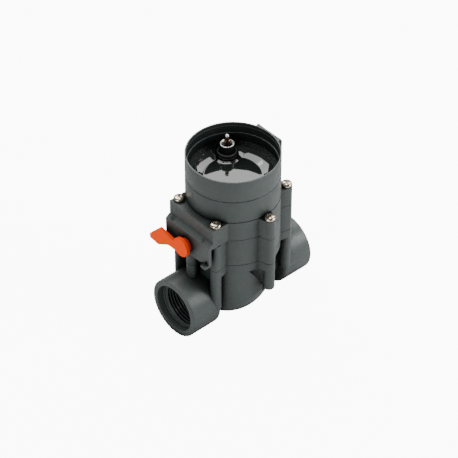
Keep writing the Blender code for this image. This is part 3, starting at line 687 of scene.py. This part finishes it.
def make_bonnet():
    """Upper flange with the lever block, the solenoid's well and the spindle's bore."""
    ceiling, boss_r, boss_low = 89, 16, 83.5
    bonnet = slab("bonnet_shell", barrel_outline(True), BONNET_LOW, BONNET_TOP)
    hollow = rod("bonnet_hollow", CHAMBER_R, BONNET_LOW - 2, ceiling, segments=96)
    cut(hollow, rod("well_boss", boss_r, boss_low, ceiling + 3, segments=64))
    cut(bonnet, hollow)
    join(bonnet, lever_face())
    join(bonnet, rod("spindle_housing", 9, FACE_X + 0.5, -33.4, (0, 0, SPINDLE_Z), 64, "X"))
    groove_out, groove_in, groove_z = 18, 15, 95.2
    well_r, well_floor, pilot_r, pilot_low = 13.1, 86.5, 2.6, 80
    well = [(0, BONNET_TOP + 2), (groove_out, BONNET_TOP + 2), (groove_out, groove_z),
            (groove_in, groove_z), (groove_in, BONNET_TOP + 1), (well_r, BONNET_TOP + 1),
            (well_r, well_floor), (pilot_r, well_floor), (pilot_r, pilot_low), (0, pilot_low)]
    cut(bonnet, lathe("well", well, segments=64))
    seal_r, seal_end, spindle_r, bore_end = 5.8, 40, 3.8, -SPINDLE_END_X - 0.3
    bore = [(0, 43.8), (seal_r, 43.8), (seal_r, seal_end), (spindle_r, seal_end),
            (spindle_r, bore_end), (0, bore_end)]
    cut(bonnet, lathe("spindle_bore", bore, segments=48, axis="-X", at=(0, 0, SPINDLE_Z)))
    nipple = tube("pilot_nipple", 4.2, 1.6, DUCT_SPLIT_Z + 0.3, SPINDLE_Z - 7, (BLEED_X, 0, 0), 40)
    cut(nipple, rod("barrel_clearance", BARREL_R + 0.3, 50, 66, segments=128))
    join(bonnet, nipple)
    cut(bonnet, rod("bleed_way", 1.4, 60, SPINDLE_Z + 1.1, (BLEED_X, 0, 0), 24))
    cut(bonnet, *screw_holes(BONNET_LOW - 2, BONNET_TOP + 2))
    join(bonnet, *position_marks())
    return finish_piece(soften(bonnet, 0.3), "body_plastic", nodes=("bonnet",))


def make_solenoid_housing():
    """Plain round housing whose deep pot holds the solenoid."""
    pot, floor, pot_out, pot_in, hole_r, inner = 86.8, 99.5, 12.8, 11.2, 4.3, 30.5
    points = [(BARREL_R, HOUSING_TOP), (BARREL_R, HOUSING_LOW), (pot_out, HOUSING_LOW),
              (pot_out, pot), (hole_r, pot), (hole_r, pot + 1.5), (pot_in, pot + 1.5),
              (pot_in, floor), (inner, floor), (inner, HOUSING_TOP)]
    profile = rounded(points, [0.35, 0.5, 0, 0.5, 0, 0, 0.4, 0.4, 0.4, 0.2], 3)
    housing = lathe("solenoid_housing_shell", profile, ring=True, segments=144)
    return finish_piece(shade(housing), "body_plastic", nodes=("solenoid_housing",))


def make_control_cup():
    """Open cup: a thin wall over three floor steps, with the seal's groove and the latch rail."""
    wall, lip, spigot = 31.1, 31.6, 30.2
    rim_step, wall_step = 0.25, (124.0, 124.2)
    points = [(BARREL_R, RIM_Z), (BARREL_R, CUP_LOW), (32.1, CUP_LOW), (32.1, CUP_LOW + 0.75),
              (31, CUP_LOW + 0.75), (31, CUP_LOW), (spigot, CUP_LOW), (spigot, 112), (27.6, 112),
              (27.6, 115.6), (28.7, 115.6), (28.7, 116.4), (29.9, 116.4), (29.9, 117.2),
              (wall, 117.2), (wall, wall_step[0]), (lip, wall_step[1]), (lip, 129.6),
              (lip + rim_step, 129.8), (lip + rim_step, RIM_Z)]
    radii = [0.2, 0.3, 0, 0, 0, 0, 0, 0.3, 0.3, 0.3, 0.25, 0.3, 0.25, 0.3, 0.3, 0.1, 0.05, 0, 0,
             0.15]
    cup = lathe("control_cup_shell", rounded(points, radii, 3), ring=True, segments=144)
    cut(cup, rod("post_notch", POST_BASE_R + 0.3, 105, 117.8, POST_AT, 64))
    join(cup, block("rail_pad", (31.8, -11, CUP_LOW + 1), (33.4, 11, RIM_Z - 0.05)))
    for side in (-18, 18):
        rib = slab("rail_rib", [(32, CUP_LOW + 4), (33.6, CUP_LOW + 1.6), (35.7, CUP_LOW + 4.5),
                                (35.9, RIM_Z - 1.2), (35.2, RIM_Z - 0.05), (32, RIM_Z - 0.05)],
                   -1, 1, "XZ")
        rib.data.transform(Matrix.Rotation(math.radians(side), 4, "Z"))
        join(cup, rib)
    finish_piece(soften(cup, 0.2), "body_plastic", nodes=("control_cup",))
    # The cup's inner faces take the second material, which darkens them with painted shade.
    cup.data.materials.append(MATERIALS["cup_inside_painted_shade"])
    for face in cup.data.polygons:
        centre = face.center * METRE
        inside = math.hypot(centre.x, centre.y) < lip + 0.3 and centre.z < RIM_Z - 0.2
        on_wall_step = abs(centre.z - sum(wall_step) / 2) <= 0.15
        face.material_index = int(inside and not on_wall_step)


def make_resin():
    """Poured floor with a meniscus against the wall, and a well for the contact post."""
    profile = [(r, RESIN_TOP) for r in (0, 3, 8, 14, 18)]
    climb_r, steep_r, step = 19.4, 23.4, 0.25
    rise = RESIN_TOP
    for i in range(32):
        r = climb_r + step * i
        slope = 0.4 * min(1, max(0, (r - climb_r) / 1.5)) + 0.14 * max(0, r - steep_r)
        rise += step * slope
        profile.append((r + step, rise))
    edge_z, outer, low, coil_r, coil_top = RESIN_TOP + 0.3, 30.2, 99.8, 11.6, 109.6
    profile += [(27.45, edge_z), (outer, edge_z), (outer, low), (coil_r, low), (coil_r, coil_top),
                (0, coil_top)]
    resin = lathe("potting_resin_pour", profile, segments=144)
    hold = POST_BASE_R + 0.3
    wet_r, wet_climb, clip_r = 3.0, 0.9, 27
    wet = [(0, RESIN_TOP + wet_climb)]
    wet += [(hold + wet_r * i / 10, RESIN_TOP - 0.04 + wet_climb * (1 - i / 10) ** 2.2)
            for i in range(11)]
    meniscus = lathe("post_meniscus", wet + [(hold + wet_r, 109), (0, 109)], segments=96,
                     at=POST_AT)
    join(resin, keep(meniscus, rod("meniscus_clip", clip_r, 100, 120, segments=144)))
    post_heading = math.degrees(math.atan2(POST[1], POST[0]))
    cut(resin, rod("post_pocket", hold, 107, RESIN_TOP + 4, POST_AT, 64),
        block("lead_slot", (10, -2.2, 104), (20, 2.2, 108), post_heading))
    return finish_piece(shade(resin), "potting_resin", nodes=("potting_resin",))


# ---------------------------------------------------------------- contact, lever, screws

def make_contact_post():
    """Stepped black post with its O-ring."""
    points = [(5.1, POST_TOP), (5.1, POST_STEP), (POST_BASE_R, POST_STEP), (POST_BASE_R, 108.5),
              (1.4, 108.5), (1.4, 112.5), (4.7, 112.5), (4.7, POST_TOP)]
    post = lathe("contact_post_body", rounded(points, [0.3, 0.5, 0.7, 0, 0, 0, 0, 0], 3), ring=True,
                 segments=72, at=POST_AT)
    finish_piece(shade(post), "black_plastic", nodes=("contact_post",))
    ring_r, cord_r, cord_z = 6.4, 0.95, POST_STEP + 1.25
    cord = [(ring_r + cord_r * math.cos(a), cord_z + cord_r * math.sin(a))
            for a in [TURN * i / 16 for i in range(16)]]
    o_ring = lathe("contact_post_o_ring", cord, ring=True, segments=72, at=POST_AT)
    finish_piece(shade(o_ring, 60), "seal_rubber", nodes=("contact_post_seal",))


def make_contact_sleeve():
    """Metal ring of the coaxial contact, and the dark bush inside it."""
    flange = POST_TOP + 0.3
    lip = flange + 0.8
    points = [(4.95, lip), (4.95, flange), (4.4, flange), (4.4, 113), (3.9, 113), (3.9, lip - 1),
              (4.4, lip)]
    sleeve = lathe("contact_sleeve_ring", rounded(points, [0.25, 0.2, 0, 0, 0, 0.2, 0.2], 3),
                   ring=True, segments=72, at=POST_AT)
    finish_piece(shade(sleeve), "nickel_plated_steel", nodes=("contact_sleeve",))
    insulator = tube("contact_insulator_bush", 3.6, 1.3, 113, 119.5, POST_AT, 48)
    finish_piece(shade(insulator), "black_plastic", nodes=("contact_insulator",))


def make_contact_pin():
    """Ball-tipped pin with a collar; below the ball it takes a dark brown metal."""
    ball_r, barrel_r, collar_r, stem_r, foot = 1.45, 1.3, 1.8, 1.0, 107.5
    ball_z = high_z("contact_pin") - ball_r
    collar_z = ball_z - 3.4
    sweep = math.pi - math.asin(barrel_r / ball_r)
    profile = [(ball_r * math.sin(sweep * i / 14), ball_z + ball_r * math.cos(sweep * i / 14))
               for i in range(15)]
    profile += [(barrel_r, collar_z + 0.7), (collar_r - 0.2, collar_z + 0.5),
                (collar_r, collar_z + 0.25), (collar_r - 0.1, collar_z),
                (stem_r, collar_z - 0.1), (stem_r, foot), (0, foot)]
    pin = shade(lathe("contact_ball_pin", profile, segments=40, at=POST_AT))
    finish_piece(pin, "nickel_plated_steel", nodes=("contact_pin",))
    pin.data.materials.append(MATERIALS["dark_brown_steel"])
    # Faces below the ball take the dark brown metal.
    shank_top = ball_z - 0.75
    for face in pin.data.polygons:
        face.material_index = int(face.center.z * METRE < shank_top)


def make_lever():
    """Flat lever with a round hub and a drooping paddle; outline points are (Y, Z) from the hub."""
    front, thickness = LEVER_FRONT, 2.95
    hub_r, neck_top, neck_low = 7.2, 1.4, -5.9
    hub = arc((0, 0), hub_r, math.degrees(math.asin(neck_top / hub_r)),
              360 + math.degrees(math.asin(neck_low / hub_r)), 48)
    lower = [(12.4, neck_low), (23.2, -12.4), (32.2, -11.5)]
    upper = [(32.4, -7.8), (22.4, 3.0), (20.4, 3.0), (10.2, neck_top)]
    ease = [2.5, 0.8, 0.5, 0.5, 0.5, 0.5, 1.5]
    outline = rounded(hub + lower + upper, [0] * len(hub) + ease, 5)
    lever = slab("lever_paddle", outline, front, front + thickness, "YZ")
    lever.data.transform(Matrix.Translation((0, 0, SPINDLE_Z / METRE)))
    axis = (0, 0, SPINDLE_Z)
    join(lever, rod("lever_collar", 4.8, front + 1, FACE_X - 0.4, axis, 48, "X"))
    cut(lever, rod("lever_bore", 3.8, front + 1.5, FACE_X, axis, 40, "X"))
    finish_piece(soften(lever, 0.25), "orange_plastic", nodes=("manual_lever",), body="lever")


def make_cover_screws():
    """Pan-head screws with a cross recess, each left at its own turn."""
    top, reach, dome = BONNET_TOP + 3.0, 3.9, 1.7
    low = BONNET_TOP + 0.3
    rim = top - dome
    shank_r, shank_low, recess_half = 2, 44, 0.38
    for i, heading in enumerate(HEADINGS):
        at = bolt_point(heading)
        profile = [(0, top)]
        profile += [(reach * math.sin(a), rim + dome * math.cos(a))
                    for a in [math.pi / 2 * k / 8 for k in range(1, 9)]]
        profile += [(reach, low + 0.2), (reach - 0.2, low), (shank_r, low), (shank_r, shank_low),
                    (0.6, shank_low - 2), (0, shank_low - 2)]
        screw = lathe(f"clamp_screw_{i + 1}", profile, segments=48, at=at)
        turn = 20 + 37 * i
        for quarter in (0, 90):
            outline = [(-1.9, 1), (-1.7, 0), (-0.6, -1.2), (0.6, -1.2), (1.7, 0), (1.9, 1)]
            tool = slab("recess", [(x, top + z - 0.35) for x, z in outline], -recess_half,
                        recess_half, "XZ")
            spin = Matrix.Rotation(math.radians(turn + quarter), 4, "Z")
            tool.data.transform(Matrix.Translation(Vector(at) / METRE) @ spin)
            cut(screw, tool)
        finish_piece(soften(screw, 0.1, 40), "stainless_steel", nodes=(f"cover_screw_{i + 1}",))


def make_spring(name, node, radius, wire, turns):
    """Round-wire compression spring between its node's heights; wire is the wire's radius."""
    low, high = low_z(node), high_z(node)
    length = high - low
    per_turn, sides = 32, 10
    bm = bmesh.new()
    rings = []
    for i in range(turns * per_turn + 1):
        angle = TURN * i / per_turn
        centre = Vector((radius * math.cos(angle), radius * math.sin(angle),
                         low + wire + (length - 2 * wire) * i / (turns * per_turn)))
        out = Vector((math.cos(angle), math.sin(angle), 0))
        rings.append([bm.verts.new(centre + wire * (out * math.cos(b) + Vector((0, 0, math.sin(b)))))
                      for b in [TURN * k / sides for k in range(sides)]])
    for ring, other in zip(rings, rings[1:]):
        for k in range(sides):
            bm.faces.new((ring[k - 1], ring[k], other[k], other[k - 1]))
    bm.faces.new(rings[0])
    bm.faces.new(rings[-1])
    spring = finish_piece(shade(piece_from(name, bm)), "stainless_steel", nodes=(node,))
    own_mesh(spring)


def make_diaphragm():
    """Rubber diaphragm: its rim stays clamped, its centre rides with the seat guide."""
    lower = [(30.5, 61.3), (30.5, 59.15), (26.5, 59.15), (24.8, 61.6), (22.5, 62.3), (20.2, 61.6),
             (18.5, 59.15), (3.3, 59.15)]
    upper = [(3.3, 61.3), (17.6, 61.3), (19.4, 63.4), (22.5, 64.3), (25, 63.4), (26.2, 61.3)]
    radii = [0.3, 0.3, 0.6, 1.5, 1.5, 1.5, 0.6, 0.2, 0.2, 0.6, 1.5, 1.5, 1.5, 0.6]
    disc = shade(lathe("diaphragm_disc", rounded(lower + upper, radii, 3), ring=True))
    disc.data.materials.append(MATERIALS["diaphragm_rubber"])
    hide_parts("diaphragm")
    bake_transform(disc, "valve", "diaphragm_centre", (0.026, 0, 0.06), (0.0178, 0, 0.06))
    clamped_r, plate_r = 26.0, 17.8
    weights = disc.data.attributes["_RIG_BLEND"].data
    for vertex, weight in zip(disc.data.vertices, weights):
        r = math.hypot(vertex.co.x, vertex.co.y) * METRE
        t = min(1, max(0, (clamped_r - r) / (clamped_r - plate_r)))
        weight.value = t * t * (3 - 2 * t)


make_valve_body()
make_diaphragm()
make_chamber_ring()
make_bonnet()
make_solenoid_housing()
make_control_cup()
make_resin()
make_contact_post()
make_contact_sleeve()
make_contact_pin()
make_lever()
make_cover_screws()
make_spring("diaphragm_coil_spring", "diaphragm_spring", 10.5, 0.7, 5)
make_spring("plunger_coil_spring", "plunger_spring", 1.4, 0.2, 4)

# The other CAD nodes keep their own shape and take the finish of their slot.
for part in frame["record"]["subparts"]:
    node = NODES[part["node"]]
    node.data.materials.clear()
    node.data.materials.append(MATERIALS[part["material_slot"]])


# ---------------------------------------------------------------- camera, floor and light

def make_camera():
    """The viewing angle of the reference view, set by its fitted direction and distance."""
    forward = Vector((0.5001, 0.5626, -0.6582)).normalized()
    right = Vector((0.7474, -0.6643, 0)).normalized()
    aim_z, aside, distance = 63.44, 2.76, 1584
    target = Vector((0, 0, aim_z)) - right * aside
    data = bpy.data.cameras.new("camera")
    data.lens = 179.76
    data.sensor_width = 36
    data.clip_start, data.clip_end = 0.05, 50
    camera = bpy.data.objects.new("camera", data)
    camera.location = (target - forward * distance) / METRE
    camera.rotation_euler = forward.to_track_quat("-Z", "Y").to_euler()
    bpy.context.scene.collection.objects.link(camera)
    bpy.context.scene.camera = camera


def make_floor():
    """White paper that glows to the camera only, so that it lights nothing."""
    half, drop, camera_glow = 6000, 0.05, 10.0
    bm = bmesh.new()
    bm.faces.new([bm.verts.new((x, y, -drop)) for x, y in
                  ((-half, -half), (half, -half), (half, half), (-half, half))])
    floor = piece_from("floor", bm)
    mat, tree, shader = tree_of("floor_paper")
    shader.inputs["Base Color"].default_value = (0.55, 0.55, 0.55, 1)
    shader.inputs["Roughness"].default_value = 0.9
    shader.inputs["Emission Color"].default_value = (1, 1, 1, 1)
    light_path = tree.nodes.new("ShaderNodeLightPath")
    glow = ramp(tree, light_path.outputs["Is Camera Ray"], 0.0, camera_glow, 0, 1)
    tree.links.new(glow, shader.inputs["Emission Strength"])
    floor.data.materials.append(mat)


def soft_light(name, azimuth, elevation, distance, size, power):
    """Rectangular area light; azimuth is the way to it, in degrees from +X towards +Y."""
    aim = Vector((0, 0, 70))
    data = bpy.data.lights.new(name, "AREA")
    data.shape = "RECTANGLE"
    data.size, data.size_y = size[0] / METRE, size[1] / METRE
    data.energy = power
    light = bpy.data.objects.new(name, data)
    a, e = math.radians(azimuth), math.radians(elevation)
    ray = Vector((math.cos(a) * math.cos(e), math.sin(a) * math.cos(e), math.sin(e)))
    light.location = (aim + ray * distance) / METRE
    light.rotation_euler = (-ray).to_track_quat("-Z", "Y").to_euler()
    bpy.context.scene.collection.objects.link(light)


def make_light():
    """Six soft lights around the object over a faint white surround."""
    world = bpy.data.worlds.new("studio")
    world.use_nodes = True
    background = world.node_tree.nodes["Background"]
    background.inputs["Color"].default_value = (1, 1, 1, 1)
    background.inputs["Strength"].default_value = 0.12
    bpy.context.scene.world = world
    soft_light("key", -52, 27, 900, (380, 380), 6.6)
    soft_light("back", 70, 45, 900, (1000, 340), 4.7)
    soft_light("right", 6, 44, 900, (300, 560), 2.4)
    soft_light("high", 98, 62, 900, (420, 420), 2.4)
    soft_light("top", 48, 82, 900, (320, 320), 1.6)
    soft_light("fill", 196, 24, 1200, (600, 600), 5.9)


make_camera()
make_floor()
make_light()
